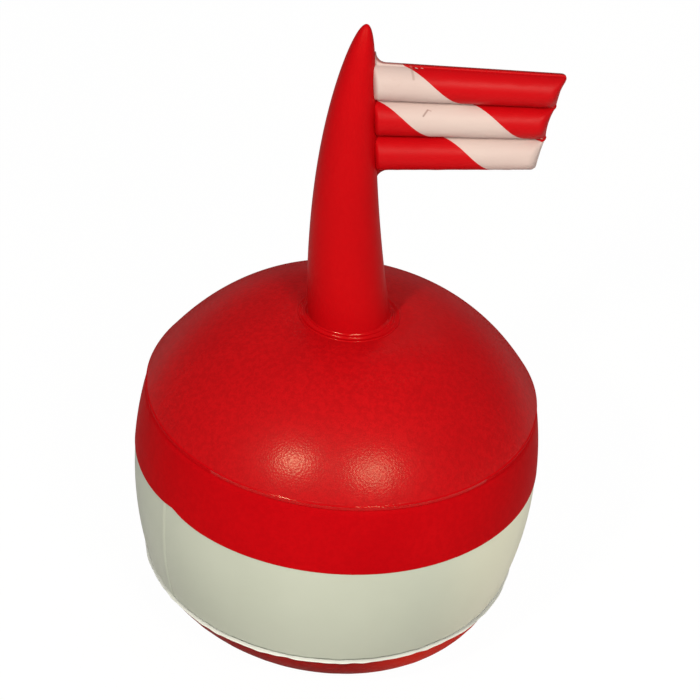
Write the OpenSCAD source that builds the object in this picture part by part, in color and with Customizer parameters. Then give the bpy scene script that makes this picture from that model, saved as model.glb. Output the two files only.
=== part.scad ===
// Inflatable dive marker buoy: welded film body, mast and ribbed flag. Millimetres, +Z up, flag along +X.

/* [Body] */
// Radius of the top seam, where the domed panel meets the side band
top_seam_r = 156.5; // [80:1:260]
// Radius of the bottom seam, where the side band meets the base
bottom_seam_r = 153; // [80:1:260]
// Height of the side band between the two seams
wall_h = 159; // [60:1:300]
// How far the side band bulges past the straight line between its seams
wall_bulge = 10.3; // [3:0.5:30]
// Height of the white part of the side band
white_h = 100.5; // [30:1:200]
// Rise of the top panel from its seam to the mast
dome_rise = 68.5; // [30:1:140]
// Bulge of the top panel's arc past its chord
dome_bulge = 22; // [8:0.5:50]
// Depth of the base below the bottom seam
base_depth = 52; // [30:1:100]
// Outer radius of the flat foot the buoy stands on
foot_r = 80; // [60:1:120]

/* [Film and seams] */
// Thickness of the film
film = 0.6; // [0.3:0.05:1.5]
// Gap left between two films that are welded face to face
weld_gap = 0.05; // [0.02:0.01:0.2]
// Width of the lap where the red band covers the white one
lap_w = 6; // [3:0.5:15]
// Length of the top panel's hem over the side band
hem_w = 2.4; // [1:0.1:6]
// Width of the welded lip around the bottom seam
lip_w = 4.2; // [2:0.1:10]
// Width of the vertical lap seam of the white band
seam_w = 10; // [4:0.5:25]
// Direction of the vertical lap seam, from +X
seam_az = 212; // [0:1:359]

/* [Mast] */
// Radius of the mast at its base
mast_r = 33; // [15:0.5:60]
// Height of the mast above the top panel
mast_h = 249; // [120:1:400]
// Sideways drift of the mast's tip, away from the flag
mast_lean = 7.1; // [0:0.5:30]
// Bow of the mast halfway up, away from the flag
mast_bow = 8.3; // [0:0.1:25]
// Length of mast that stands inside the top panel's hole
mast_skirt = 3; // [1:0.5:10]
// Width of the collar welded to the top panel around the mast
collar_w = 7; // [3:0.5:20]
// Radius of the bead at the collar's inner edge
bead_r = 1.3; // [0.6:0.1:3]
// Clearance between the collar and the mast
collar_gap = 0.35; // [0.1:0.05:1]

/* [Flag] */
// Radius of an inflated rib of the flag at the mast
rib_r = 13.7; // [6:0.1:25]
// Radius of an inflated rib at its outer end
rib_end_r = 12.3; // [6:0.1:25]
// Height of the flat weld between two ribs
rib_weld = 1.4; // [0.5:0.1:5]
// Number of ribs
rib_n = 3; // [2:1:5]
// Distance of the top rib's axis below the mast's tip
flag_drop = 46; // [30:1:120]
// Reach of the flag's upper corner from the mast's foot axis
flag_reach = 141.5; // [60:0.5:220]
// How much shorter the flag's lower corner is than its upper one
flag_rake = 12.5; // [0:0.5:40]
// Width of the weld around the outside of the flag
flag_rim = 1.8; // [1:0.1:6]
// How far the flag's outer edge is drawn in at each rib
flag_scallop = 1.6; // [0:0.1:5]
// Radius of the flag's two outer corners
flag_corner = 4; // [1:0.5:12]
// Radius of the fillets between the flag and the mast
flag_fillet = 8; // [2:0.5:20]
// Length over which a rib closes at its outer end
rib_end = 26; // [12:0.5:40]
// Length over which a rib closes at the mast
rib_root = 9; // [4:0.5:30]
// Distance of the stripe's upper edge from the mast's foot axis, along the flag's top
stripe_start = 27; // [0:1:80]
// Width of the stripe, measured along the flag
stripe_w = 72; // [20:1:120]
// Length along the flag that the stripe crosses for each millimetre it drops
stripe_slope = 1.75; // [0.8:0.05:3]

/* [Valve] */
// Distance of the valve from the crease, along the top panel
valve_up = 21.6; // [16:0.1:60]
// Radius of the valve's flange
valve_flange_r = 12; // [8:0.5:20]
// Thickness of the valve's flange
valve_flange_t = 0.9; // [0.5:0.1:2]
// Outer radius of the valve's neck
valve_neck_r = 5.5; // [4:0.1:8]
// Bore radius of the valve
valve_bore_r = 4; // [2:0.1:6]
// Length of the valve's neck outside the film
valve_neck_h = 3; // [2:0.5:8]
// Length of the valve's neck inside the film
valve_spigot = 7; // [3:0.5:15]
// Length of the plug inside the bore
plug_len = 6; // [3:0.5:12]
// Clearance of the plug in the bore and of the neck in the film
valve_gap = 0.1; // [0.05:0.05:0.4]
// Thickness of the plug's cap
plug_cap_t = 1.4; // [0.8:0.1:3]

/* [Tie ring] */
// Height of the recess under the base
recess_h = 20; // [14:0.5:40]
// Radius of the recess's flat ceiling
recess_r = 36; // [28:0.5:50]
// Radius of the recess at the foot
recess_mouth_r = 54; // [40:0.5:58]
// Radius of the patch that carries the webbing
patch_r = 32; // [20:0.5:45]
// Thickness of the patch
patch_t = 1; // [0.5:0.1:3]
// Radius of the tie ring to the middle of its wire
ring_r = 17; // [10:0.5:25]
// Radius of the tie ring's wire
wire_r = 2; // [1:0.1:4]
// Clearance of the wire in the webbing loop
ring_gap = 0.3; // [0.1:0.05:1]
// Thickness of the webbing
web_t = 1.5; // [0.8:0.1:3]
// Width of the webbing
web_w = 22; // [10:0.5:25]
// Drop from the patch to the tie ring's bar
ring_drop = 8; // [6:0.5:14]
// Length of each webbing tail on the patch
tail_len = 11; // [5:0.5:20]
// Height of the tie ring's lowest point above the floor at rest
ring_rest = 0.3; // [0.1:0.1:3]

/* [Hidden] */
$fn = 96;
fine = 360;
z_lip = base_depth;
z_split = z_lip + white_h;
z_crease = z_lip + wall_h;
z_mast = z_crease + dome_rise;
lap_t = film + weld_gap;
far = 2000;

// Arc through two points of a profile, with its bulge to the right on the way up
function arc_rad(p, q, s) = (norm(q - p) * norm(q - p) / 4 + s * s) / (2 * s);
function arc_out(p, q) = [q[1] - p[1], p[0] - q[0]] / norm(q - p);
function arc_mid(p, q, s) = (p + q) / 2 - arc_out(p, q) * (arc_rad(p, q, s) - s);

wall_p = [bottom_seam_r, z_lip];
wall_q = [top_seam_r, z_crease];
wall_rad = arc_rad(wall_p, wall_q, wall_bulge);
wall_c = arc_mid(wall_p, wall_q, wall_bulge);
function wall_at(z, out) = wall_c[0] + sqrt(pow(wall_rad + out, 2) - pow(z - wall_c[1], 2));

dome_p = [wall_at(z_crease, 2 * lap_t), z_crease];
dome_q = [mast_r, z_mast];
dome_rad = arc_rad(dome_p, dome_q, dome_bulge);
dome_c = arc_mid(dome_p, dome_q, dome_bulge);
valve_tilt = 90 - atan2(dome_p[1] - dome_c[1], dome_p[0] - dome_c[0]) - valve_up / dome_rad * 180 / PI;

base_rad = (pow(bottom_seam_r - foot_r, 2) + base_depth * base_depth) / (2 * base_depth);

// Mast: radius and sideways drift at the share t of its height
function mast_rad(t) = (mast_r - weld_gap) * sqrt(1 - t);
function mast_x(t) = -mast_lean * t - 4 * mast_bow * t * (1 - t);
function mast_edge(h) = mast_x(h / mast_h) + mast_rad(h / mast_h);

// Flag: each rib's axis at the mast and at its outer end, and the outline's levels there
rib_top = mast_h - flag_drop;
function rib_in(i) = rib_top - i * (2 * rib_r + rib_weld);
function rib_out(i) = rib_top - i * (2 * rib_end_r + rib_weld);
rib_sides = 24;
slice_t = 0.5;
top_in = rib_in(0) + rib_r + flag_rim;
top_out = rib_out(0) + rib_end_r + flag_rim;
low_in = rib_in(rib_n - 1) - rib_r - flag_rim;
low_out = rib_out(rib_n - 1) - rib_end_r - flag_rim;
function flag_end(h) = flag_reach - flag_rake * (top_out - h) / (top_out - low_out);

pin_z = recess_h - patch_t - ring_drop;
ring_tilt = asin((pin_z - wire_r - ring_rest) / ring_r);

// Part of a round shell: the film between two offsets of one arc, kept between two heights
module arc_film(c, rad, t0, t1, r0, z0, z1) {
  intersection() {
    translate(c) difference() {
      circle(r = rad + t1, $fn = fine);
      circle(r = rad + t0, $fn = fine);
    }
    translate([r0, z0]) square([far, z1 - z0]);
  }
}

// Frame of the valve: its origin on the top panel, +Z outwards
module at_valve() {
  rotate([0, 0, 90])
    translate([dome_c[0] + dome_rad * sin(valve_tilt), 0, dome_c[1] + dome_rad * cos(valve_tilt)])
      rotate([0, valve_tilt, 0])
        children();
}

module top_panel() {
  color([0.72, 0.03, 0.05]) difference() {
    rotate_extrude() union() {
      arc_film(dome_c, dome_rad, -film, 0, mast_r, z_crease, far);
      arc_film(wall_c, wall_rad, lap_t + weld_gap, 2 * lap_t, 1, z_crease - hem_w, z_crease + film);
    }
    at_valve() translate([0, 0, -valve_spigot]) cylinder(r = valve_neck_r + valve_gap, h = 2 * valve_spigot);
  }
}

module band_red() {
  color([0.72, 0.03, 0.05]) rotate_extrude()
    arc_film(wall_c, wall_rad, weld_gap, lap_t, 1, z_split, z_crease - weld_gap);
}

module band_white() {
  color([0.85, 0.86, 0.8]) rotate_extrude()
    arc_film(wall_c, wall_rad, -film, 0, 1, z_lip, z_split + lap_w);
}

// Second layer of film where the white band's two ends are welded over each other
module band_seam() {
  sweep = seam_w / (bottom_seam_r + wall_bulge) * 180 / PI;
  color([0.85, 0.86, 0.8]) rotate([0, 0, seam_az - sweep / 2]) rotate_extrude(angle = sweep)
    arc_film(wall_c, wall_rad, weld_gap, lap_t, 1, z_lip + 2 * film, z_split - weld_gap);
}

module bottom_lip() {
  in_r = wall_at(z_lip + film, weld_gap);
  color([0.92, 0.93, 0.9]) rotate_extrude() union() {
    translate([in_r, z_lip - film]) square([lip_w - film, 2 * film]);
    translate([in_r + lip_w - film, z_lip]) circle(r = film, $fn = 24);
  }
}

// Base: arc from the seam down to a flat foot, then a recess with sloping sides
module base_panel() {
  run = recess_mouth_r - recess_r;
  mitre = film * recess_h / (norm([run, recess_h]) + run);
  color([0.72, 0.03, 0.05]) rotate_extrude() union() {
    arc_film([foot_r, base_rad], base_rad, -film, 0, foot_r, -1, z_lip);
    polygon([[0, recess_h], [recess_r, recess_h], [recess_mouth_r, 0], [foot_r, 0], [foot_r, film],
      [recess_mouth_r + mitre, film], [recess_r + mitre, recess_h + film], [0, recess_h + film]]);
  }
}

// Mast: rings that shrink evenly to the tip, each shifted by the mast's lean and bow
ring_n = 22;
side_n = 40;
function mast_share(i) = 1 - pow(1 - i / ring_n, 2);
function mast_ring(t, in, h) = let (r = mast_rad(t) - in * sqrt(1 - t))
  [for (k = [0:side_n - 1]) [mast_x(t) + r * cos(360 * k / side_n), r * sin(360 * k / side_n), h]];
function mast_skin(in, top) = concat(mast_ring(0, in, -mast_skirt),
  [for (i = [0:ring_n - 1]) each mast_ring(mast_share(i), in, top * mast_share(i))],
  [[mast_x(1), 0, top]]);
function side_faces(n, base, flip) = [for (j = [0:n - 1], k = [0:side_n - 1], u = [0, 1])
  let (a = base + j * side_n + k, b = base + j * side_n + (k + 1) % side_n, f = u == 0
    ? [a, a + side_n, b + side_n] : [a, b + side_n, b])
  flip ? [f[2], f[1], f[0]] : f];
function tip_faces(n, base, flip) = [for (k = [0:side_n - 1])
  let (a = base + n * side_n + k, b = base + n * side_n + (k + 1) % side_n, c = base + (n + 1) * side_n)
  flip ? [b, c, a] : [a, c, b]];

module mast_shell() {
  outer = mast_skin(0, mast_h);
  inner = mast_skin(film, mast_h - 4 * film);
  m = len(outer);
  rim = [for (k = [0:side_n - 1], u = [0, 1]) let (b = (k + 1) % side_n)
    u == 0 ? [k, b, m + b] : [k, m + b, m + k]];
  polyhedron(concat(outer, inner), concat(side_faces(ring_n, 0, false), tip_faces(ring_n, 0, false),
    side_faces(ring_n, m, true), tip_faces(ring_n, m, true), rim), convexity = 4);
}

module mast() {
  color([0.78, 0.03, 0.05]) translate([0, 0, z_mast]) mast_shell();
}

module mast_collar() {
  in_r = mast_r + collar_gap;
  color([0.72, 0.03, 0.05]) rotate_extrude() union() {
    intersection() {
      translate(dome_c) difference() {
        circle(r = dome_rad + lap_t, $fn = fine);
        circle(r = dome_rad + weld_gap, $fn = fine);
      }
      translate([in_r + bead_r, z_mast - 10]) square([collar_w - bead_r, 30]);
    }
    difference() {
      translate([in_r + bead_r, z_mast + film]) circle(r = bead_r, $fn = 32);
      translate(dome_c) circle(r = dome_rad + weld_gap, $fn = fine);
    }
  }
}

// Where a rib starts at the mast and ends at the flag's outer edge
function rib_x0(i) = mast_edge(rib_in(i)) + flag_rim;
function rib_x1(i) = flag_end(rib_out(i)) - flag_rim - flag_scallop;

// Share of its full depth that a rib has at distance d from an end that closes over a length
function rib_close(d, length) = d >= length ? 1 : sqrt(max(0, 1 - pow(1 - d / length, 2)));

// Stations along a rib, closer together where it closes
function rib_steps(length) = concat([for (k = [0:3]) rib_root * (1 - cos(30 * k))],
  [for (k = [5:-1:0]) length - rib_end * (1 - cos(18 * k))]);

// Thin slice of a rib, inset by in
module rib_slice(i, d, length, in) {
  share = d / length;
  r = rib_r + (rib_end_r - rib_r) * share - in;
  deep = max(0.8 * film, r * rib_close(d, rib_root) * rib_close(length - d, rib_end));
  translate([rib_x0(i) + 2 * in + d, 0, rib_in(i) + (rib_out(i) - rib_in(i)) * share])
    rotate([90, 0, 90]) linear_extrude(slice_t) scale([deep / r, 1]) circle(r = r, $fn = rib_sides);
}

// One inflated rib, full in the middle and closed flat at both ends
module rib(i, in) {
  length = rib_x1(i) - rib_x0(i) - 4 * in;
  steps = rib_steps(length);
  trim = in > 0 ? 1 : 0;
  for (k = [trim:len(steps) - 2 - trim]) hull() {
    rib_slice(i, steps[k], length, in);
    rib_slice(i, steps[k + 1], length, in);
  }
}

// Points of a round corner at p, between the lines that come from a and go to b
function corner(p, a, b, r, n) = let (u = (a - p) / norm(a - p), v = (b - p) / norm(b - p),
    half = acos(u * v) / 2, m = p + (u + v) / norm(u + v) * r / sin(half), w = p + u * r / tan(half) - m,
    turn = (u[0] * v[1] - u[1] * v[0] > 0 ? -1 : 1) * (180 - 2 * half))
  [for (k = [0:n]) let (q = turn * k / n) m + [w[0] * cos(q) - w[1] * sin(q), w[0] * sin(q) + w[1] * cos(q)]];

// Point of the flag's welded edge that lies along the mast
function beside_mast(h) = [mast_edge(h) + 2 * weld_gap, h];

// Welded edge of the flag: up the mast, along the top, down the drawn-in outer end and back
module flag_plate() {
  p_top = beside_mast(top_in);
  p_low = beside_mast(low_in);
  c_top = [flag_end(top_out), top_out];
  c_low = [flag_end(low_out), low_out];
  m_top = beside_mast(top_in + flag_fillet);
  m_low = beside_mast(low_in - flag_fillet);
  ends = [for (i = [0:rib_n - 1], k = [-0.8:0.2:0.8]) let (h = rib_out(i) - k * rib_end_r)
    if (h < top_out - 1.6 * flag_corner && h > low_out + 1.6 * flag_corner)
      [flag_end(h) - flag_scallop * (1 - k * k), h]];
  rotate([90, 0, 0]) translate([0, 0, -film]) linear_extrude(2 * film) polygon(concat(
    [for (k = [1:7]) beside_mast(low_in + (top_in - low_in) * k / 8)], corner(p_top, m_top, c_top, flag_fillet, 6),
    corner(c_top, p_top, ends[0], flag_corner, 5), ends,
    corner(c_low, ends[len(ends) - 1], p_low, flag_corner, 5), corner(p_low, c_low, m_low, flag_fillet, 6)));
}

// Both sheets of the flag: hollow ribs with flat welds between and around them
module flag_sheets() {
  difference() {
    union() {
      flag_plate();
      for (i = [0:rib_n - 1]) rib(i, 0);
    }
    for (i = [0:rib_n - 1]) rib(i, film);
  }
}

// Part of the flag's plane between two slanted edges that start at xa and xb along its top
module stripe_area(xa, xb) {
  high = top_in + 2 * flag_fillet;
  low = low_in - 2 * flag_fillet;
  back = (high - top_in) * stripe_slope;
  on = (top_in - low) * stripe_slope;
  rotate([90, 0, 0]) translate([0, 0, -far / 2]) linear_extrude(far)
    polygon([[xa - back, high], [xb - back, high], [xb + on, low], [xa + on, low]]);
}

module flag_part(xa, xb) {
  translate([0, 0, z_mast]) intersection() {
    flag_sheets();
    stripe_area(xa, xb);
  }
}

module flag_upper() {
  color([0.78, 0.03, 0.05]) flag_part(stripe_start, far);
}

module flag_stripe() {
  color([0.9, 0.88, 0.85]) flag_part(stripe_start - stripe_w, stripe_start);
}

module flag_lower() {
  color([0.78, 0.03, 0.05]) flag_part(-far, stripe_start - stripe_w);
}

module valve_body() {
  color([0.8, 0.82, 0.8]) difference() {
    at_valve() union() {
      translate([0, 0, -2]) cylinder(r = valve_flange_r, h = 2 + valve_flange_t);
      cylinder(r = valve_neck_r, h = valve_neck_h);
    }
    rotate_extrude($fn = fine) intersection() {
      translate(dome_c) circle(r = dome_rad + weld_gap, $fn = fine);
      square([far, far]);
    }
    at_valve() translate([0, 0, -valve_spigot]) cylinder(r = valve_bore_r, h = 2 * valve_spigot + valve_neck_h);
  }
  color([0.8, 0.82, 0.8]) at_valve() difference() {
    translate([0, 0, -valve_spigot]) cylinder(r = valve_neck_r, h = valve_spigot + valve_neck_h);
    translate([0, 0, -valve_spigot - 1]) cylinder(r = valve_bore_r, h = 2 * valve_spigot + valve_neck_h);
  }
}

module valve_plug() {
  color([0.8, 0.82, 0.8]) at_valve() union() {
    translate([0, 0, valve_neck_h]) cylinder(r = valve_neck_r + 0.8, h = plug_cap_t);
    translate([0, 0, valve_neck_h - plug_len]) cylinder(r = valve_bore_r - valve_gap, h = plug_len);
  }
}

module ring_patch() {
  color([0.72, 0.03, 0.05]) translate([0, 0, recess_h - patch_t]) cylinder(r = patch_r, h = patch_t);
}

// Webbing: a loop round the ring's bar with two tails welded to the patch
module ring_loop() {
  slot = wire_r + ring_gap;
  color([0.12, 0.12, 0.13]) translate([0, web_w / 2, pin_z]) rotate([90, 0, 0]) linear_extrude(web_w) union() {
    difference() {
      union() {
        circle(r = slot + web_t);
        translate([-slot - web_t, 0]) square([2 * (slot + web_t), ring_drop]);
      }
      circle(r = slot);
      translate([-slot, 0]) square([2 * slot, ring_drop + 1]);
    }
    for (s = [-1, 1]) translate([s * (slot + tail_len / 2), ring_drop - web_t / 2])
      square([tail_len, web_t], center = true);
  }
}

module tie_ring() {
  color([0.75, 0.76, 0.78]) translate([0, 0, pin_z]) rotate([0, ring_tilt, 0]) union() {
    translate([0, -ring_r, 0]) rotate([-90, 0, 0]) cylinder(r = wire_r, h = 2 * ring_r);
    rotate([0, 0, -90]) rotate_extrude(angle = 180) translate([ring_r, 0]) circle(r = wire_r);
    for (s = [-1, 1]) translate([0, s * ring_r, 0]) sphere(r = wire_r);
  }
}

top_panel();
band_red();
band_white();
band_seam();
bottom_lip();
base_panel();
mast();
mast_collar();
flag_upper();
flag_stripe();
flag_lower();
valve_body();
valve_plug();
ring_patch();
ring_loop();
tie_ring();
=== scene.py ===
import math

import bpy
import numpy as np
from mathutils import Matrix, Vector


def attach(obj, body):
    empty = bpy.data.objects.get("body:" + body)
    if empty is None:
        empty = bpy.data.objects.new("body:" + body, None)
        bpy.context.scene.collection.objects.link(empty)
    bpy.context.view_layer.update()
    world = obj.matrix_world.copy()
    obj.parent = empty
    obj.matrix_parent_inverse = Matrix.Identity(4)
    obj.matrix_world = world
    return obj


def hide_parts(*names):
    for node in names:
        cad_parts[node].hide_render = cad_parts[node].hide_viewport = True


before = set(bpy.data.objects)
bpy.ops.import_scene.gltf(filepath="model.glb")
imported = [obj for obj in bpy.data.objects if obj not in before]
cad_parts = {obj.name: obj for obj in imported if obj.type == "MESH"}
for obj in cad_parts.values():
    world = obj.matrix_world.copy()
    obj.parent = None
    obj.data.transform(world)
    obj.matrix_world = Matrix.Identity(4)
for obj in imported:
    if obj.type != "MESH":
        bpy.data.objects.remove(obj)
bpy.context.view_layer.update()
mm = 0.001
print("frame loaded:", len(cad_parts), "nodes")

# shared outline of the body, millimetres, same figures as the solids
body = {"lipR": 153.0, "lipZ": 52.0, "splitZ": 152.5, "creaseR": 156.5, "creaseZ": 211.0,
        "mastR": 33.0, "mastZ": 279.5, "wallBulge": 10.3, "domeBulge": 22.0, "lap": 0.65,
        "footR": 80.0, "mouthR": 54.0, "recessR": 36.0, "recessZ": 20.0, "sides": 384}


def arcThrough(p, q, bulge):
    p, q = np.array(p, float), np.array(q, float)
    chord = np.linalg.norm(q - p)
    radius = (chord * chord / 4 + bulge * bulge) / (2 * bulge)
    out = np.array([q[1] - p[1], p[0] - q[0]]) / chord
    return (p + q) / 2 - out * (radius - bulge), radius


def onArc(centre, radius, start, end, count):
    a, b = (math.atan2(p[1] - centre[1], p[0] - centre[0]) for p in (start, end))
    t = np.linspace(a, b, count)
    return np.stack([centre[0] + radius * np.cos(t), centre[1] + radius * np.sin(t)], 1)


wallC, wallRad = arcThrough((body["lipR"], body["lipZ"]), (body["creaseR"], body["creaseZ"]), body["wallBulge"])


def wallAt(z, out=0.0):
    return wallC[0] + math.sqrt((wallRad + out) ** 2 - (z - wallC[1]) ** 2)


domeFoot = (wallAt(body["creaseZ"], 2 * body["lap"]), body["creaseZ"])
domeC, domeRad = arcThrough(domeFoot, (body["mastR"], body["mastZ"]), body["domeBulge"])


def domeAt(r):
    return domeC[1] + math.sqrt(domeRad ** 2 - (r - domeC[0]) ** 2)


# mesh helpers
def addMesh(name, verts, faces, sharpAngle=None):
    mesh = bpy.data.meshes.new(name)
    mesh.from_pydata([tuple(v) for v in verts], [], [tuple(f) for f in faces])
    mesh.validate()
    mesh.polygons.foreach_set("use_smooth", [True] * len(mesh.polygons))
    if sharpAngle:
        mesh.set_sharp_from_angle(angle=math.radians(sharpAngle))
    obj = bpy.data.objects.new(name, mesh)
    bpy.context.collection.objects.link(obj)
    return obj


def gridFaces(rows, cols, wrap, base=0):
    faces = []
    for i in range(rows - 1):
        for j in range(cols if wrap else cols - 1):
            k = (j + 1) % cols
            low, high = base + i * cols, base + (i + 1) * cols
            faces.append((low + j, low + k, high + k, high + j))
    return faces


def unevenWaves(turn, seed, counts):
    rng = np.random.default_rng(seed)
    total = np.zeros_like(turn)
    for n in counts:
        total += rng.uniform(0.5, 1.0) * np.sin(n * turn + rng.uniform(0, 6.283))  # size, then phase
    return total / math.sqrt(len(counts))


# turns a profile of (radius, height) round Z; push gives an outward shift in millimetres for each point
def turned(name, profile, sides, push=None, place=None):
    p = np.array(profile, float)
    along = np.gradient(p, axis=0)
    along /= np.linalg.norm(along, axis=1)[:, None] + 1e-9
    normal = np.stack([along[:, 1], -along[:, 0]], 1)
    turn = np.linspace(0, 2 * np.pi, sides, endpoint=False)
    step = np.linalg.norm(np.diff(p, axis=0), axis=1)
    length = np.concatenate([[0], np.cumsum(step)])
    shift = np.zeros((len(p), sides))
    if push is not None:
        shift = push(turn[None, :], p[:, 0:1], p[:, 1:2], length[:, None])
    r = p[:, 0:1] + normal[:, 0:1] * shift
    z = p[:, 1:2] + normal[:, 1:2] * shift
    verts = np.stack([r * np.cos(turn), r * np.sin(turn), z + 0 * turn], 2).reshape(-1, 3) * mm
    obj = addMesh(name, verts, gridFaces(len(p), sides, True))
    if place is not None:
        obj.data.transform(place)
    return obj


def dress(obj, material, bodyName, slot, *nodes):
    obj.data.materials.append(material)
    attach(obj, bodyName)
    if nodes:
        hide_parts(*nodes)
    return obj


# node groups shared by the films, the plastics and the steel
def newGroup(name, inputs, outputs):
    group = bpy.data.node_groups.new(name, "ShaderNodeTree")
    for label, kind, value in inputs:
        socket = group.interface.new_socket(label, in_out="INPUT", socket_type=kind)
        socket.default_value = value
    for label, kind in outputs:
        group.interface.new_socket(label, in_out="OUTPUT", socket_type=kind)
    return group, group.nodes.new("NodeGroupInput"), group.nodes.new("NodeGroupOutput")


def addNode(tree, kind, **values):
    node = tree.nodes.new(kind)
    for key, value in values.items():
        if hasattr(node, key):
            setattr(node, key, value)
        else:
            node.inputs[key].default_value = value
    return node


def mathNode(tree, operation, a, b=None, c=None):
    node = tree.nodes.new("ShaderNodeMath")
    node.operation = operation
    for i, v in enumerate((a, b, c)):
        if v is None:
            continue
        if isinstance(v, (int, float)):
            node.inputs[i].default_value = v
        else:
            tree.links.new(v, node.inputs[i])
    return node.outputs[0]


def ramp(tree, value, low, high, toLow=0.0, toHigh=1.0):
    node = tree.nodes.new("ShaderNodeMapRange")
    node.interpolation_type = "SMOOTHSTEP"
    for i, v in enumerate((low, high, toLow, toHigh)):
        node.inputs[i + 1].default_value = v
    tree.links.new(value, node.inputs[0])
    return node.outputs[0]


def blendColour(tree, amount, a, b):
    node = tree.nodes.new("ShaderNodeMix")
    node.data_type = "RGBA"
    for socket, v in ((node.inputs[0], amount), (node.inputs[6], a), (node.inputs[7], b)):
        if isinstance(v, (int, float, tuple)):
            socket.default_value = v
        else:
            tree.links.new(v, socket)
    return node.outputs[2]


# fine leather-like grain of calendered film: small soft cells broken up by noise
def makeGrain():
    inputs = [("Cells", "NodeSocketFloat", 650.0), ("Uneven", "NodeSocketFloat", 0.35)]
    g, gin, gout = newGroup("filmGrain", inputs, [("Height", "NodeSocketFloat"), ("Speck", "NodeSocketFloat")])
    spot = g.nodes.new("ShaderNodeTexCoord").outputs["Object"]
    cells = addNode(g, "ShaderNodeTexVoronoi", feature="F1")
    rough = addNode(g, "ShaderNodeTexNoise", Detail=3.0, Roughness=0.6)
    broad = addNode(g, "ShaderNodeTexNoise", Scale=60.0, Detail=2.0)
    for node in (cells, rough, broad):
        g.links.new(spot, node.inputs["Vector"])
    g.links.new(gin.outputs["Cells"], cells.inputs["Scale"])
    g.links.new(mathNode(g, "MULTIPLY", gin.outputs["Cells"], 1.7), rough.inputs["Scale"])
    mixed = mathNode(g, "MULTIPLY_ADD", rough.outputs[0], gin.outputs["Uneven"], cells.outputs["Distance"])
    g.links.new(mathNode(g, "MULTIPLY_ADD", broad.outputs[0], 0.3, mixed), gout.inputs["Height"])
    speck = addNode(g, "ShaderNodeTexNoise", Detail=2.0, Roughness=0.7)
    g.links.new(spot, speck.inputs["Vector"])
    g.links.new(mathNode(g, "MULTIPLY", gin.outputs["Cells"], 0.45), speck.inputs["Scale"])
    g.links.new(speck.outputs[0], gout.inputs["Speck"])
    return g


# slow change of tone in thin coloured film, with a little handling dirt
def makeTone():
    inputs = [("Film", "NodeSocketColor", (1, 1, 1, 1)), ("Deep", "NodeSocketColor", (0, 0, 0, 1)),
              ("Dirt", "NodeSocketColor", (0.1, 0.08, 0.06, 1)), ("Dirty", "NodeSocketFloat", 0.1)]
    g, gin, gout = newGroup("filmTone", inputs, [("Color", "NodeSocketColor"), ("Gloss", "NodeSocketFloat")])
    spot = g.nodes.new("ShaderNodeTexCoord").outputs["Object"]
    slow = addNode(g, "ShaderNodeTexNoise", Scale=9.0, Detail=3.0, Roughness=0.5)
    fine = addNode(g, "ShaderNodeTexNoise", Scale=140.0, Detail=4.0, Roughness=0.65)
    for node in (slow, fine):
        g.links.new(spot, node.inputs["Vector"])
    tone = blendColour(g, ramp(g, slow.outputs[0], 0.35, 0.7), gin.outputs["Film"], gin.outputs["Deep"])
    patch = mathNode(g, "MULTIPLY", ramp(g, fine.outputs[0], 0.52, 0.78), ramp(g, slow.outputs[0], 0.4, 0.65))
    dirt = mathNode(g, "MULTIPLY", patch, gin.outputs["Dirty"])
    g.links.new(blendColour(g, dirt, tone, gin.outputs["Dirt"]), gout.inputs["Color"])
    halfSlow = mathNode(g, "MULTIPLY", slow.outputs[0], 0.5)
    g.links.new(mathNode(g, "MULTIPLY_ADD", fine.outputs[0], 0.5, halfSlow), gout.inputs["Gloss"])
    return g


# thin straight rubbing marks
def makeScuff():
    g, gin, gout = newGroup("filmScuff", [("Count", "NodeSocketFloat", 7.0)], [("Mark", "NodeSocketFloat")])
    spot = g.nodes.new("ShaderNodeTexCoord").outputs["Object"]
    turnNode = addNode(g, "ShaderNodeMapping")
    turnNode.inputs["Rotation"].default_value = (0.5, 0.3, 0.9)
    turnNode.inputs["Scale"].default_value = (1.0, 14.0, 5.0)
    g.links.new(spot, turnNode.inputs["Vector"])
    streak = addNode(g, "ShaderNodeTexNoise", Detail=5.0, Roughness=0.7)
    where = addNode(g, "ShaderNodeTexNoise", Scale=14.0, Detail=1.0)
    g.links.new(turnNode.outputs[0], streak.inputs["Vector"])
    g.links.new(spot, where.inputs["Vector"])
    g.links.new(gin.outputs["Count"], streak.inputs["Scale"])
    mark = mathNode(g, "MULTIPLY", ramp(g, streak.outputs[0], 0.66, 0.74), ramp(g, where.outputs[0], 0.55, 0.7))
    g.links.new(mark, gout.inputs["Mark"])
    return g


grainGroup, toneGroup, scuffGroup = makeGrain(), makeTone(), makeScuff()


def useGroup(tree, group, **values):
    node = tree.nodes.new("ShaderNodeGroup")
    node.node_tree = group
    for key, value in values.items():
        node.inputs[key].default_value = value
    return node


def newMaterial(name):
    material = bpy.data.materials.new(name)
    material.use_nodes = True
    tree = material.node_tree
    return material, tree, tree.nodes["Principled BSDF"]


def bumpFrom(tree, height, strength, distance):
    node = tree.nodes.new("ShaderNodeBump")
    node.inputs["Strength"].default_value = strength
    node.inputs["Distance"].default_value = distance
    tree.links.new(height, node.inputs["Height"])
    return node.outputs[0]


# what every welded film shares: depths and widths in metres, the sheen's spread, and how dull its far edges turn
filmFinish = {"uneven": 0.35, "grainDepth": 0.0004, "speckDark": 0.8, "groove": (0.0008, 0.0029),
              "hazeSpread": 0.5, "farPower": 3.0, "farDull": 0.6}


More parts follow.
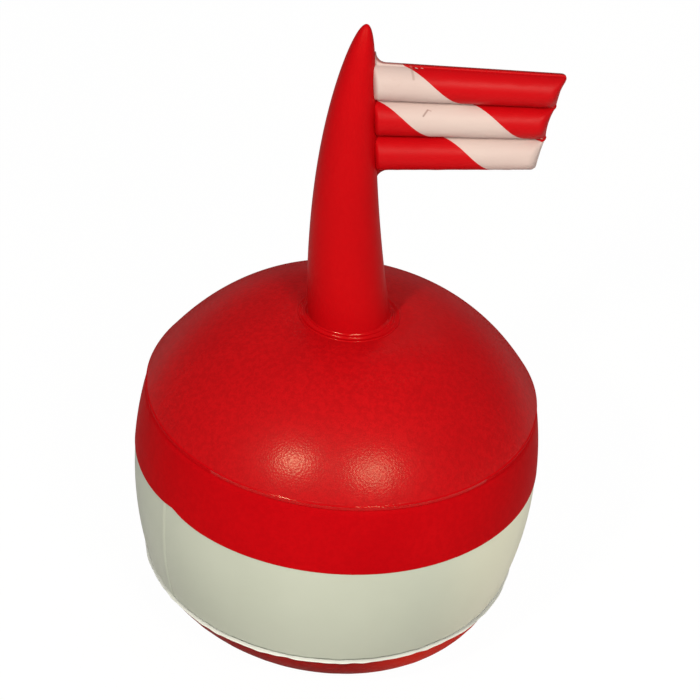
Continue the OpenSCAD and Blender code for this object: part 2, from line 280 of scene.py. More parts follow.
# one recipe for every welded film: tone, grain, scuffs and a soft shine
def makeFilm(name, look):
    material, tree, shader = newMaterial(name)
    tone = useGroup(tree, toneGroup, Film=look["film"], Deep=look["deep"], Dirt=look["dirt"], Dirty=look["dirty"])
    grain = useGroup(tree, grainGroup, Cells=look["cells"], Uneven=filmFinish["uneven"])
    scuff = useGroup(tree, scuffGroup, Count=look["scuffs"])
    speck = mathNode(tree, "MULTIPLY", ramp(tree, grain.outputs["Speck"], 0.35, 0.65), look["mottle"])
    speckTint = tuple(filmFinish["speckDark"] * v for v in look["deep"][:3]) + (1,)
    mottled = blendColour(tree, speck, tone.outputs["Color"], speckTint)
    rubbed = mathNode(tree, "MULTIPLY", scuff.outputs[0], look["scuffShow"])
    colour = blendColour(tree, rubbed, mottled, look["scuffTint"])
    split = tree.nodes.new("ShaderNodeSeparateXYZ")
    tree.links.new(tree.nodes.new("ShaderNodeTexCoord").outputs["Object"], split.inputs[0])
    if "paintedLitSide" in look:  # painted light: the film is painted paler towards one side, as where more light falls
        colour = blendColour(tree, ramp(tree, split.outputs[0], *look["paintedLitFrom"]), colour, look["paintedLitSide"])
    if "seamZ" in look:  # painted shade: the groove above the weld is painted darker, in patches
        away = mathNode(tree, "ABSOLUTE", mathNode(tree, "SUBTRACT", split.outputs[2], look["seamZ"] * mm))
        patchy = ramp(tree, tone.outputs["Gloss"], 0.3, 0.6, 0.6, 0.95)
        groove = mathNode(tree, "MULTIPLY", ramp(tree, away, *filmFinish["groove"], 1.0, 0.0), patchy)
        colour = blendColour(tree, groove, colour, look["grooveShadeTint"])
    tree.links.new(colour, shader.inputs["Base Color"])
    least, most = look["gloss"] - look["glossVary"], look["gloss"] + look["glossVary"]
    gloss = ramp(tree, tone.outputs["Gloss"], 0.3, 0.7, least, most)
    rough = mathNode(tree, "MULTIPLY_ADD", scuff.outputs[0], look["scuffShow"], gloss)
    if look["haze"]:  # a faint wide sheen under the highlights, and far edges that are duller than a hard coat's
        facing = tree.nodes.new("ShaderNodeLayerWeight").outputs["Facing"]
        far = mathNode(tree, "POWER", facing, filmFinish["farPower"])
        rough = mathNode(tree, "MULTIPLY_ADD", far, filmFinish["farDull"], rough)
        sheen = mathNode(tree, "MULTIPLY_ADD", far, -look["haze"], look["haze"])
        tree.links.new(sheen, shader.inputs["Coat Weight"])
        shader.inputs["Coat Roughness"].default_value = filmFinish["hazeSpread"]
    tree.links.new(rough, shader.inputs["Roughness"])
    bump = bumpFrom(tree, grain.outputs["Height"], look["grain"], filmFinish["grainDepth"])
    tree.links.new(bump, shader.inputs["Normal"])
    shader.inputs["Specular IOR Level"].default_value = look["specular"]
    shader.inputs["Specular Tint"].default_value = look["shine"]
    return material


redLook = {"film": (0.55, 0.003, 0.006, 1), "deep": (0.49, 0.002, 0.005, 1),
           "dirt": (0.3, 0.02, 0.012, 1), "dirty": 0.06, "mottle": 0.55, "cells": 560.0, "grain": 0.22,
           "gloss": 0.235, "glossVary": 0.03, "specular": 0.12, "shine": (1.0, 0.88, 0.6, 1), "haze": 0.0,
           "scuffs": 6.0, "scuffShow": 0.06, "scuffTint": (0.62, 0.08, 0.06, 1)}
mastLook = dict(redLook, film=(0.53, 0.002, 0.005, 1), deep=(0.49, 0.002, 0.005, 1),
                cells=420.0, grain=0.1, gloss=0.42, dirty=0.08, specular=0.06, mottle=0.1)
whiteLook = {"film": (0.58, 0.62, 0.54, 1), "deep": (0.55, 0.59, 0.51, 1),
             "dirt": (0.45, 0.45, 0.36, 1), "dirty": 0.04, "mottle": 0.0, "cells": 900.0, "grain": 0.05,
             "gloss": 0.3, "glossVary": 0.008, "specular": 0.3, "shine": (1, 1, 1, 1), "haze": 0.0,
             "scuffs": 6.0, "scuffShow": 0.02, "scuffTint": (0.45, 0.45, 0.38, 1)}
# painted light: the lip's white is painted paler than the band's, for the light its up-turned face catches
litLipLook = dict(whiteLook, film=(0.86, 0.88, 0.86, 1), deep=(0.78, 0.8, 0.77, 1), gloss=0.33)
redFilm = makeFilm("redFilm", dict(redLook, haze=0.14))
mastFilm = makeFilm("mastFilm", mastLook)
bandFilm = makeFilm("bandFilm", dict(redLook, specular=0.008, gloss=0.45, grain=0.1, mottle=0.3))
collarFilm = makeFilm("collarFilm", dict(mastLook, grain=0.02, gloss=0.15, specular=0.22))
hemFilm = makeFilm("hemFilm", dict(mastLook, grain=0.02, gloss=0.13, specular=0.2))
# painted light: the white band is painted paler and yellower towards one side; painted shade: the groove above the weld
# is painted darker
whiteFilm = makeFilm("whiteFilm", dict(whiteLook, seamZ=body["lipZ"] + 1.5, grooveShadeTint=(0.08, 0.09, 0.07, 1),
                                       paintedLitSide=(0.95, 0.95, 0.77, 1), paintedLitFrom=(0.06, 0.16)))
litLipFilm = makeFilm("litLipFilm", litLipLook)
lapFilm = makeFilm("lapFilm", whiteLook)
# painted highlight: the base's red is painted paler towards one side; elsewhere it is a darker red with heavy dark
# patches
baseFilm = makeFilm("baseFilm", dict(redLook, film=(0.4, 0.006, 0.005, 1), deep=(0.3, 0.004, 0.004, 1),
                                     dirt=(0.1, 0.014, 0.01, 1), paintedLitSide=(0.66, 0.02, 0.01, 1), paintedLitFrom=(0.0, 0.07),
                                     dirty=0.6, scuffShow=0.2, scuffs=9.0, gloss=0.5, specular=0.04))
print("film materials made")

# top panel: a dome with a folded hem that stands just clear of the red band
topPanel = {"hem": 2.4, "pucker": 0.13, "puckerReach": 9.0, "ridge": 0.5, "ridgeWidth": 0.5, "sideRidge": 0.35,
            "flatLeft": 4.0, "flatRight": 2.4, "lean": 0.2, "pressedRows": 5, "front": 0.75}

hemZ = body["creaseZ"] - topPanel["hem"]
hemEdge = wallAt(hemZ, body["lap"])
hemLip = ((-0.1, 0.8), (0.02, 0.1), (0.12, -0.03), (0.22, 0.02), (0.27, 0.15))  # rolled lower edge
hemLine = [(hemEdge + out, hemZ + up) for out, up in hemLip]
for z in np.linspace(hemZ + 0.4, body["creaseZ"] - 0.15, 8):  # the hem's face leans in below the weld's edge
    rise = ((z - hemZ) / topPanel["hem"]) ** 1.5
    hemLine.append((wallAt(z, body["lap"] + topPanel["lean"] + (body["lap"] - topPanel["lean"]) * rise), z))
domeTop = (body["mastR"] - 1.5, domeAt(body["mastR"] - 1.5))
domeLine = onArc(domeC, domeRad, domeFoot, domeTop, 600)[1:]
domeLine = np.concatenate([domeLine[0:16], domeLine[17:40:4], domeLine[44::7]])  # rows close together by the weld
topLine = np.array(hemLine + [tuple(p) for p in domeLine])
ridgeAt = np.concatenate([[0], np.cumsum(np.linalg.norm(np.diff(topLine, axis=0), axis=1))])[len(hemLine)]


def topPush(turn, r, z, length):
    drop = np.exp(-np.maximum(z - body["creaseZ"], 0) / topPanel["puckerReach"])
    pucker = topPanel["pucker"] * drop * unevenWaves(turn, 3, (9, 14, 23, 31, 44, 61)) * (length > 5.5)
    share = np.clip((length - ridgeAt) / (length[-1] - ridgeAt), 0, 1)
    flat = np.where(np.cos(turn) < 0, topPanel["flatLeft"], topPanel["flatRight"])  # flatter shoulders at the two sides
    flat = flat * np.cos(turn) ** 2 * np.sin(np.pi * share ** 0.7) ** 1.3
    edge = np.exp(-((length - ridgeAt) / topPanel["ridgeWidth"]) ** 2)
    crisp = topPanel["sideRidge"] + (1 - topPanel["sideRidge"]) * np.sin(turn) ** 2  # softer at the two sides
    patchy = np.clip(0.75 + 0.45 * unevenWaves(turn, 11, (5, 8, 13, 19)), 0.1, 1.4)  # stands out more in some places
    return pucker - flat + topPanel["ridge"] * crisp * edge * patchy


topObj = turned("topPanel", topLine, body["sides"], topPush)
pressedFrom = (len(hemLine) - topPanel["pressedRows"]) * body["sides"]
pressedTo = (len(hemLine) + topPanel["pressedRows"]) * body["sides"]
for face in topObj.data.polygons[:pressedTo]:
    faceTurn = math.tau * (face.index % body["sides"]) / body["sides"]
    if math.sin(faceTurn) >= -topPanel["front"]:
        face.material_index = 2  # duller round the sides and the back
    elif face.index >= pressedFrom:
        face.material_index = 1  # pressed smooth by the weld
dress(topObj, redFilm, "buoy", "red_film", "top_panel")
topObj.data.materials.append(hemFilm)
topObj.data.materials.append(bandFilm)

# red and white bands of the side wall
bands = {"pucker": 0.15, "puckerReach": 14.0, "tuck": 1.2, "tuckReach": 3.2,
         "lipPucker": 0.5, "lipReach": 9.0, "groove": 1.3, "grooveWidth": 1.8,
         "peakTurn": 217.0, "peakRise": 4.8, "peakLeft": 9.0, "peakRight": 6.0, "peakReach": 24.0}


def redPush(turn, r, z, length):
    near = np.exp(-np.abs(body["creaseZ"] - z) / bands["puckerReach"])
    tuck = bands["tuck"] * np.exp(-(np.maximum(hemZ + 0.5 - z, 0) / bands["tuckReach"]) ** 2)  # drawn in under the hem
    return bands["pucker"] * near * unevenWaves(turn, 5, (11, 17, 26, 37, 52)) * (length > 1.5) - tuck


def grooveAt(z):  # drawn in where the lip is welded on
    return bands["groove"] * np.exp(-((z - body["lipZ"]) / bands["grooveWidth"]) ** 2)


def whitePush(turn, r, z, length):
    near = np.exp(-np.abs(z - body["lipZ"]) / bands["lipReach"])
    waves = unevenWaves(turn, 8, (13, 19, 29, 41, 57, 73))
    return bands["lipPucker"] * near * waves * (length > 0.5) - grooveAt(z)


def raiseSplit(obj):  # the red film's lower edge rises to a peak beside the lap seam
    for vert in obj.data.vertices:
        x, y, z = (v / mm for v in vert.co)
        away = math.degrees(math.atan2(y, x)) % 360 - bands["peakTurn"]
        rise = bands["peakRise"] * math.exp(-abs(away) / bands["peakLeft" if away < 0 else "peakRight"])
        rise *= max(0.0, 1 - abs(z - body["splitZ"]) / bands["peakReach"])
        follow = wallAt(z + rise) / wallAt(z)
        vert.co = (x * follow * mm, y * follow * mm, (z + rise) * mm)
    return obj


def onWall(z, out=0.0):
    return wallAt(z, out), z


splitZ, lap = body["splitZ"], body["lap"]
redLine = [onWall(splitZ + 0.5, 0.05), (wallAt(splitZ, 0.1), splitZ - 0.05),
           (wallAt(splitZ, 0.45), splitZ - 0.1), (wallAt(splitZ, lap), splitZ + 0.25)]  # the film's cut edge
redMid = onWall(hemZ - 9, lap)
redLine += onArc(wallC, wallRad + lap, onWall(splitZ + 0.8, lap), redMid, 26)[:-1].tolist()
redLine += onArc(wallC, wallRad + lap, redMid, onWall(body["creaseZ"] - 0.4, lap), 22).tolist()  # closer by the hem
redBand = raiseSplit(turned("redBand", redLine, body["sides"], redPush))
dress(redBand, bandFilm, "buoy", "red_film", "band_red")
whiteMid = onWall(body["lipZ"] + 7)
whiteLine = onArc(wallC, wallRad, (body["lipR"], body["lipZ"]), whiteMid, 13)[:-1].tolist()  # closer by the lip
whiteLine += onArc(wallC, wallRad, whiteMid, onWall(splitZ + 4), 50).tolist()
whiteBand = raiseSplit(turned("whiteBand", whiteLine, body["sides"], whitePush))
dress(whiteBand, whiteFilm, "buoy", "white_film", "band_white")
print("body panels made")

# upright lap seam of the white band
lapSeam = {"turn": 212.0, "radius": 160.0, "width": 10.0, "height": 0.62}


def makeLapSeam():
    rows, cols = 48, 13
    zs = np.linspace(body["lipZ"] + 0.6, body["splitZ"] - 0.25, rows)
    half = math.degrees(lapSeam["width"] / 2 / lapSeam["radius"])
    across = np.linspace(-1, 1, cols)
    lift = np.clip((across + 1) / 1.5, 0, 1) * np.clip(1 - np.abs(across) ** 3, 0, 1)  # one raised edge
    lift = lapSeam["height"] * lift
    verts = []
    for z in zs:
        wobble = 0.25 * math.sin(z * 0.11) + 0.15 * math.sin(z * 0.29 + 1)
        for a, up in zip(across, lift):
            t = math.radians(lapSeam["turn"] + half * a) + wobble / lapSeam["radius"]
            r = wallAt(z) + 0.02 + up - grooveAt(z)
            verts.append((r * math.cos(t) * mm, r * math.sin(t) * mm, z * mm))
    return addMesh("lapSeam", verts, gridFaces(rows, cols, False), 40)


dress(raiseSplit(makeLapSeam()), lapFilm, "buoy", "white_film", "band_seam")

# bottom weld lip: a narrow ruffled strip
bottomLip = {"inner": 150.9, "outer": 157.2, "thick": 0.9, "ruffle": 0.45, "sag": 0.2, "ragged": 0.3,
             "narrow": ((-42.0, 1.5), (-95.0, 1.5), (196.0, 2.1))}  # turn and depth of each place that is cut closer


def makeLip():
    turn = np.linspace(0, 2 * np.pi, body["sides"], endpoint=False)
    half = bottomLip["thick"] / 2
    section = [(bottomLip["inner"], half)]
    for a in np.linspace(math.pi / 2, -math.pi / 2, 7):  # rounded outer edge
        section.append((bottomLip["outer"] - half + half * math.cos(a), half * math.sin(a)))
    section.append((bottomLip["inner"], -half))
    wave = unevenWaves(turn, 12, (17, 27, 38, 55, 71))
    edge = unevenWaves(turn, 14, (9, 21, 33))
    trim = sum(cut * np.exp(3 * (np.cos(turn - math.radians(at)) - 1)) for at, cut in bottomLip["narrow"])
    verts = []
    for r, z in section:
        out = (r - bottomLip["inner"]) / (bottomLip["outer"] - bottomLip["inner"])
        rr = r + out * (bottomLip["ragged"] * edge - trim)
        zz = body["lipZ"] + z + out * (bottomLip["ruffle"] * wave - bottomLip["sag"])
        verts += [(a * math.cos(t) * mm, a * math.sin(t) * mm, b * mm) for a, b, t in zip(rr, zz, turn)]
    return addMesh("bottomLip", verts, gridFaces(len(section), body["sides"], True))


dress(makeLip(), litLipFilm, "buoy", "white_film", "bottom_lip")

# base panel: rounded underside, flat foot and a recess for the ring
baseShape = {"pucker": 0.8, "reach": 12.0,
             "fuller": ((-48.0, 3.0), (-140.0, -1.6))}  # turn and depth of each place that stands out or in


def basePush(turn, r, z, length):
    near = np.exp(-np.maximum(body["lipZ"] - z, 0) / baseShape["reach"]) * (r > body["footR"])
    full = sum(out * np.exp(4 * (np.cos(turn - math.radians(at)) - 1)) for at, out in baseShape["fuller"])
    full = full * np.sin(np.pi * np.clip(z / body["lipZ"], 0, 1) ** 0.8)
    waves = 0.3 + 0.7 * unevenWaves(turn, 21, (15, 23, 34, 47, 62))
    pucker = baseShape["pucker"] * waves * near * (length > 0.4)
    return pucker + full * (r > body["footR"])


baseRad = ((body["lipR"] - body["footR"]) ** 2 + body["lipZ"] ** 2) / (2 * body["lipZ"])
baseArc = onArc((body["footR"], baseRad), baseRad, (body["lipR"], body["lipZ"]), (body["footR"], 0.0), 46)
baseLine = [tuple(p) for p in baseArc]
baseLine += [(r, 0.0) for r in np.linspace(body["footR"] - 1, body["mouthR"] + 3, 12)]
for t in np.linspace(0, 1, 20):  # the recess's sloping side, eased at both ends
    s = t * t * (3 - 2 * t) * 0.35 + t * 0.65
    baseLine.append((body["mouthR"] + (body["recessR"] - body["mouthR"]) * s, body["recessZ"] * s))
baseLine += [(r, body["recessZ"]) for r in np.linspace(body["recessR"] - 2, 0.4, 10)]
dress(turned("basePanel", baseLine[::-1], body["sides"], basePush), baseFilm, "buoy", "red_film", "base_panel")
print("bands, lip and base made")

# mast: a bowed, tapering tube with a blunt tip
mast = {"height": 249.0, "lean": 7.1, "bow": 8.3, "dent": 0.21, "sunk": 1.2}


def mastRadius(t):
    return (body["mastR"] - 0.05) * np.sqrt(np.maximum(1 - t, 0))


def mastCentre(t):
    return -mast["lean"] * t - 4 * mast["bow"] * t * (1 - t)


def mastEdge(h):
    t = h / mast["height"]
    return mastCentre(t) + mastRadius(t)


def makeMast():
    rows, sides = 90, 96
    share = 1 - (1 - np.linspace(0, 0.995, rows)) ** 2
    turn = np.linspace(0, 2 * np.pi, sides, endpoint=False)
    verts = []
    for t in share:
        soft = mast["dent"] * np.sin(3 * turn + 7 * t) * np.sin(np.pi * t)
        r = mastRadius(t) + soft
        x = mastCentre(t) + r * np.cos(turn)
        y = r * np.sin(turn)
        z = body["mastZ"] + mast["height"] * t - (mast["sunk"] if t == 0 else 0)
        verts += [(a * mm, b * mm, z * mm) for a, b in zip(x, y)]
    verts.append((mastCentre(1.0) * mm, 0, (body["mastZ"] + mast["height"]) * mm))
    faces = gridFaces(rows, sides, True)
    last = (rows - 1) * sides
    faces += [(last + j, last + (j + 1) % sides, rows * sides) for j in range(sides)]
    return addMesh("mastTube", verts, faces)


dress(makeMast(), mastFilm, "buoy", "mast_red_film", "mast")

# weld collar round the mast's foot: a bead, a groove and the edge of the weld
collar = {"width": 7.0, "bead": 1.3, "clear": 0.3, "pucker": 0.12,
          "upTheMast": ((-1.9, 5.6), (-1.2, 4.2), (-0.6, 3.0), (-0.1, 2.1)),
          "weld": ((0.5, 0.15), (0.62, 0.2), (0.75, 0.42), (0.88, 0.75), (0.96, 0.7), (1.0, 0.4), (1.01, 0.0))}


def makeCollar():
    inner, bead = body["mastR"] + collar["clear"], collar["bead"]
    line = [(inner + out, body["mastZ"] + up) for out, up in collar["upTheMast"]]
    beadZ = domeAt(inner + bead) + 0.5
    for a in np.linspace(math.radians(125), math.radians(8), 11):
        line.append((inner + bead + bead * math.cos(a), beadZ + bead * math.sin(a)))
    for share, up in collar["weld"]:
        r = inner + collar["width"] * share
        line.append((r, domeAt(r) + up))

    def collarPush(turn, r, z, length):
        return collar["pucker"] * unevenWaves(turn, 33, (7, 11, 19)) * (length > 1)

    return turned("mastCollar", line[::-1], 192, collarPush)


dress(makeCollar(), collarFilm, "buoy", "mast_red_film", "mast_collar")
print("mast and collar made")

# flag: two sheets welded round the edge and along two lines, blown up into three ribs
flag = {"ribs": 3, "ribR": 13.7, "ribEndR": 12.3, "weld": 1.7, "top": 204.2, "reach": 142.2, "rake": 12.5,
        "rim": 1.8, "rimSteps": (1.0, 0.85, 0.4), "flare": 2.8, "scallop": (0.2, 1.4, 0.5), "corner": (7.0, 4.0),
        "tooth": 0.6, "toothFrom": 0.86, "fillet": 8.0, "rootClose": 4.5, "sunk": 2.6, "endClose": 12.0, "endRim": 0.5,
        "half": 0.6, "gather": 0.05, "gatherFrom": 0.55, "gatherEnd": 9.0, "columns": 121}

# finish of the sheets; the stripe's edges and slope are on the flat sheet, millimetres
flagLook = {"stripeTop": 23.4, "stripeLow": -50.9, "stripeSlope": 1.262, "stripeBlur": 0.3,
            "white": (0.65, 0.52, 0.5, 1), "whiteDeep": (0.61, 0.47, 0.455, 1), "whiteDirt": (0.5, 0.3, 0.25, 1),
            "redDirty": 0.15, "whiteDirty": 0.2, "rimRedShade": (0.2, 0.01, 0.01, 1), "cells": 620.0, "grain": 0.12,
            "gloss": (0.4, 0.5), "specular": 0.12}

# marks on the sheet: start, end, width, strength and tint of each short stroke: a scuff in two strokes, a fold crease
# as a dark line of painted shade, a dark stroke and three pale flecks
flagMarks = [((39.6, 56.5), (42.6, 51.6), 1.1, 0.6, (0.2, 0.09, 0.08, 1)),
             ((43.0, 51.4), (45.0, 52.0), 0.9, 0.4, (0.3, 0.12, 0.1, 1)),
             # painted shade: the fold crease is drawn as a dark stroke
             ((27.5, 0.0), (29.6, 12.0), 1.5, 0.4, (0.3, 0.17, 0.14, 1)),
             ((29.5, 0.5), (32.5, 4.0), 1.2, 0.5, (0.1, 0.01, 0.01, 1)),
             ((31.2, 1.5), (32.2, 1.8), 0.9, 0.8, (0.7, 0.52, 0.48, 1)),
             ((35.4, 1.2), (36.4, 1.4), 0.8, 0.7, (0.7, 0.52, 0.48, 1)),
             ((129.5, 79.6), (131.5, 80.6), 0.8, 0.7, (0.7, 0.52, 0.48, 1))]


def ribIn(i):
    return flag["top"] - i * (2 * flag["ribR"] + flag["weld"])


def ribOut(i):
    return flag["top"] - i * (2 * flag["ribEndR"] + flag["weld"])


# rows across the sheet: height at the mast, height at the end, rib, angle on the rib, side of the rim
def flagRows():
    last = flag["ribs"] - 1
    rows = []
    for s in flag["rimSteps"]:
        out = flag["rim"] * s
        rows.append((ribIn(0) + flag["ribR"] + out, ribOut(0) + flag["ribEndR"] + out, 0, 90.0, s))
    for i in range(flag["ribs"]):
        for a in np.linspace(90, -90, 25):
            q = math.sin(math.radians(a))
            rows.append((ribIn(i) + flag["ribR"] * q, ribOut(i) + flag["ribEndR"] * q, i, a, 0.0))
    for s in flag["rimSteps"][::-1]:
        out = flag["rim"] * s
        rows.append((ribIn(last) - flag["ribR"] - out, ribOut(last) - flag["ribEndR"] - out, last, -90.0, -s))
    return rows


# how far a row reaches from the mast's axis
def flagEdge(hOut, i):
    topOut = ribOut(0) + flag["ribEndR"] + flag["rim"]
    lowOut = ribOut(flag["ribs"] - 1) - flag["ribEndR"] - flag["rim"]
    k = (ribOut(i) - hOut) / flag["ribEndR"]
    edge = flag["reach"] - flag["rake"] * (topOut - hOut) / (topOut - lowOut)
    edge -= flag["scallop"][i] * max(0.0, 1 - k * k)
    edge += flag["flare"] * max(0.0, -k) ** 1.5 if i == 0 else 0.0  # the top corner reaches out further
    away = min(topOut - hOut, hOut - lowOut)
    if away > flag["ribEndR"]:  # welds end in small teeth
        edge += flag["tooth"] * max(0.0, (abs(k) - flag["toothFrom"]) / (1 - flag["toothFrom"]))
    corner = flag["corner"][0 if i == 0 else 1]
    if away < corner:
        edge -= corner - math.sqrt(max(0.0, corner ** 2 - (corner - away) ** 2))
    return edge


def makeFlag():
    rows, cols = flagRows(), flag["columns"]
    share = np.linspace(0, 1, cols)
    share = share - 0.11 * np.sin(2 * np.pi * share)  # closer together at both ends
    verts, coords, rim = [], [], []
    valley = [unevenWaves(np.linspace(0, 26, cols), 60 + k, (1, 1.7, 2.6)) for k in range(2 * flag["ribs"])]
    for sign in (-1, 1):
        for hIn, hOut, i, a, s in rows:
            h = hIn + (hOut - hIn) * share
            edge, root = flagEdge(hOut, i), mastEdge(hIn)
            start = root - flag["sunk"]
            x = start + (edge - start) * share
            dEnd = edge - flag["endRim"] - x
            near = np.clip((x - start) / flag["rootClose"], 0, 1)
            shut = np.sqrt(1 - (1 - near) ** 2)  # a narrow hollow beside the mast, a blunt end at the edge
            shut *= np.clip(1 - np.clip(1 - dEnd / flag["endClose"], 0, 1) ** 3, 0, 1) ** 0.6
            r = flag["ribR"] + (flag["ribEndR"] - flag["ribR"]) * share
            rad = math.radians(a)
            deep = np.maximum(0, r * shut - flag["half"]) * math.cos(rad)
            # small gathers along the welds and at the closed ends
            nearWeld = max(0.0, abs(math.sin(rad)) - flag["gatherFrom"]) / (1 - flag["gatherFrom"])
            deep *= 1 + flag["gather"] * nearWeld * valley[i * 2 + (1 if a < 0 else 0)]
            deep *= 1 + flag["gather"] * np.cos(5 * rad + i) * np.exp(-np.maximum(dEnd, 0) / flag["gatherEnd"])
            if s:  # the rim sweeps up and down the mast in a fillet
                short = np.clip(flag["fillet"] - (x - root), 0, flag["fillet"])
                h = h + s * (flag["fillet"] - np.sqrt(flag["fillet"] ** 2 - short ** 2))
            y = sign * (flag["half"] + deep)
            across = i * (math.pi * r + flag["weld"]) + (90 - a) / 180 * math.pi * r - s * flag["rim"]
            for q in range(cols):
                verts.append((x[q] * mm, y[q] * mm, (body["mastZ"] + h[q]) * mm))
                coords.append((x[q] * mm, across[q] * mm))
                rim.append(min(1.0, 1.6 * abs(s)))
    n = len(rows)
    front, back = gridFaces(n, cols, False), gridFaces(n, cols, False, n * cols)
    faces = [f[::-1] for f in front] + back
    ring = list(range(cols)) + [i * cols + cols - 1 for i in range(1, n)]  # the open border, joined sheet to sheet
    ring += [(n - 1) * cols + j for j in range(cols - 2, -1, -1)]
    faces += [(a, b, b + n * cols, a + n * cols) for a, b in zip(ring, ring[1:])]
    obj = addMesh("flagSheets", verts, faces)
    layer = obj.data.uv_layers.new(name="sheet")
    for loop in obj.data.loops:
        layer.data[loop.index].uv = coords[loop.vertex_index]
    obj.data.attributes.new("rim", "FLOAT", "POINT").data.foreach_set("value", rim)
    return obj


# soft stroke from start to end on the sheet, millimetres
def strokeMark(tree, place, start, end, width):
    def vectorNode(operation, a, b=None):
        node = tree.nodes.new("ShaderNodeVectorMath")
        node.operation = operation
        for socket, v in ((node.inputs[0], a), (node.inputs[1], b)):
            if isinstance(v, tuple):
                socket.default_value = v
            elif v is not None:
                tree.links.new(v, socket)
        return node

    first = tuple(v * mm for v in start) + (0,)
    run = tuple((b - a) * mm for a, b in zip(start, end)) + (0,)
    offset = vectorNode("SUBTRACT", place, first).outputs[0]
    share = mathNode(tree, "DIVIDE", vectorNode("DOT_PRODUCT", offset, run).outputs["Value"], sum(v * v for v in run))
    limit = tree.nodes.new("ShaderNodeClamp")
    tree.links.new(share, limit.inputs[0])
    reach = tree.nodes.new("ShaderNodeVectorMath")
    reach.operation = "SCALE"
    reach.inputs[0].default_value = run
    tree.links.new(limit.outputs[0], reach.inputs["Scale"])
    away = vectorNode("LENGTH", vectorNode("SUBTRACT", offset, reach.outputs[0]).outputs[0]).outputs["Value"]
    return ramp(tree, away, 0.15 * width * mm, width * mm, 1.0, 0.0)


def makeFlagFilm():
    material, tree, shader = newMaterial("flagFilm")
    sheet = tree.nodes.new("ShaderNodeUVMap")
    sheet.uv_map = "sheet"
    split = tree.nodes.new("ShaderNodeSeparateXYZ")
    tree.links.new(sheet.outputs[0], split.inputs[0])
    across = mathNode(tree, "MULTIPLY_ADD", split.outputs[1], -flagLook["stripeSlope"], split.outputs[0])
    lowEdge, topEdge, blur = flagLook["stripeLow"] * mm, flagLook["stripeTop"] * mm, flagLook["stripeBlur"] * mm
    low = ramp(tree, across, lowEdge - blur, lowEdge + blur)
    high = ramp(tree, across, topEdge - blur, topEdge + blur, 1.0, 0.0)
    stripe = mathNode(tree, "MULTIPLY", low, high)
    red = useGroup(tree, toneGroup, Film=mastLook["film"], Deep=mastLook["deep"],
                   Dirt=mastLook["dirt"], Dirty=flagLook["redDirty"])
    white = useGroup(tree, toneGroup, Film=flagLook["white"], Deep=flagLook["whiteDeep"],
                     Dirt=flagLook["whiteDirt"], Dirty=flagLook["whiteDirty"])
    grain = useGroup(tree, grainGroup, Cells=flagLook["cells"], Uneven=filmFinish["uneven"])
    rim = addNode(tree, "ShaderNodeAttribute", attribute_name="rim")
    cloth = blendColour(tree, stripe, red.outputs[0], white.outputs[0])
    for start, end, width, show, tint in flagMarks:
        mark = mathNode(tree, "MULTIPLY", strokeMark(tree, sheet.outputs[0], start, end, width), show)
        cloth = blendColour(tree, mark, cloth, tint)
    # painted shade: the outer rim is painted dark red, the sheet's red edge darkened along the outline
    cloth = blendColour(tree, ramp(tree, rim.outputs["Fac"], 0.5, 1.0, 0.0, 0.8), cloth, flagLook["rimRedShade"])
    tree.links.new(cloth, shader.inputs["Base Color"])
    tree.links.new(ramp(tree, red.outputs["Gloss"], 0.3, 0.7, *flagLook["gloss"]), shader.inputs["Roughness"])
    bump = bumpFrom(tree, grain.outputs["Height"], flagLook["grain"], filmFinish["grainDepth"])
    tree.links.new(bump, shader.inputs["Normal"])
    shader.inputs["Specular IOR Level"].default_value = flagLook["specular"]
    return material


flagObj = dress(makeFlag(), makeFlagFilm(), "buoy", "mast_red_film", "flag_upper", "flag_stripe", "flag_lower")
print("flag made")

# oral valve on the back of the top panel: flange, neck and plug
valve = {"up": 21.6, "flangeR": 12.0, "flangeT": 0.9, "weldRings": (10.6, 9.6, 8.6), "ringRise": 0.16,
         "neckR": 5.5, "boreR": 4.0, "neckH": 3.0, "capR": 6.3, "capT": 1.4, "sides": 96}
valveTilt = math.pi / 2 - math.atan2(domeFoot[1] - domeC[1], domeFoot[0] - domeC[0]) - valve["up"] / domeRad
valveSpot = Vector(((domeC[0] + domeRad * math.sin(valveTilt)) * mm, 0, (domeC[1] + domeRad * math.cos(valveTilt)) * mm))
valvePlace = Matrix.Rotation(math.pi / 2, 4, "Z") @ Matrix.Translation(valveSpot) @ Matrix.Rotation(valveTilt, 4, "Y")


def roundCorner(x, z, radius, start, end):
    angles = np.radians(np.linspace(start, end, 5))
    return [(x + radius * math.cos(a), z + radius * math.sin(a)) for a in angles]


def makeValve():
    f, t, n = valve["flangeR"], valve["flangeT"], valve["neckR"]
    line = [(f - 0.1, -0.9)] + roundCorner(f - 0.45, t - 0.45, 0.45, 0, 90)
    bore, top, ringTop = valve["boreR"], valve["neckH"], t + valve["ringRise"]
    for r in valve["weldRings"]:  # raised weld rings on the flange
        line += [(r + 0.3, t), (r + 0.12, ringTop), (r - 0.12, ringTop), (r - 0.3, t)]
    line += roundCorner(n + 0.7, t + 0.7, 0.7, 270, 180) + roundCorner(n - 0.35, top - 0.35, 0.3, 0, 90)
    line += [(bore + 0.2, top - 0.05), (bore, top - 0.3), (bore, -4.0)]
    return turned("valveBody", line, valve["sides"], place=valvePlace)


def makePlug():
    z, c, stem = valve["neckH"], valve["capR"], valve["boreR"] - 0.1
    top = z + valve["capT"]
    line = [(stem, z - 5.5), (stem, z + 0.02), (c - 0.4, z + 0.02)]
    line += roundCorner(c - 0.4, z + 0.4, 0.36, -80, 0) + roundCorner(c - 0.45, top - 0.42, 0.42, 0, 90)
    line += [(c - 1.4, top), (c - 1.7, top - 0.25), (2.6, top - 0.35), (2.2, top - 0.05), (0.02, top)]  # dished cap
    return turned("valvePlug", line, valve["sides"], place=valvePlace)


# what the moulded plastic and the thread share
plasticFinish = {"uneven": 0.8, "glossVary": 0.06, "grainDepth": 0.0002, "specular": 0.35}


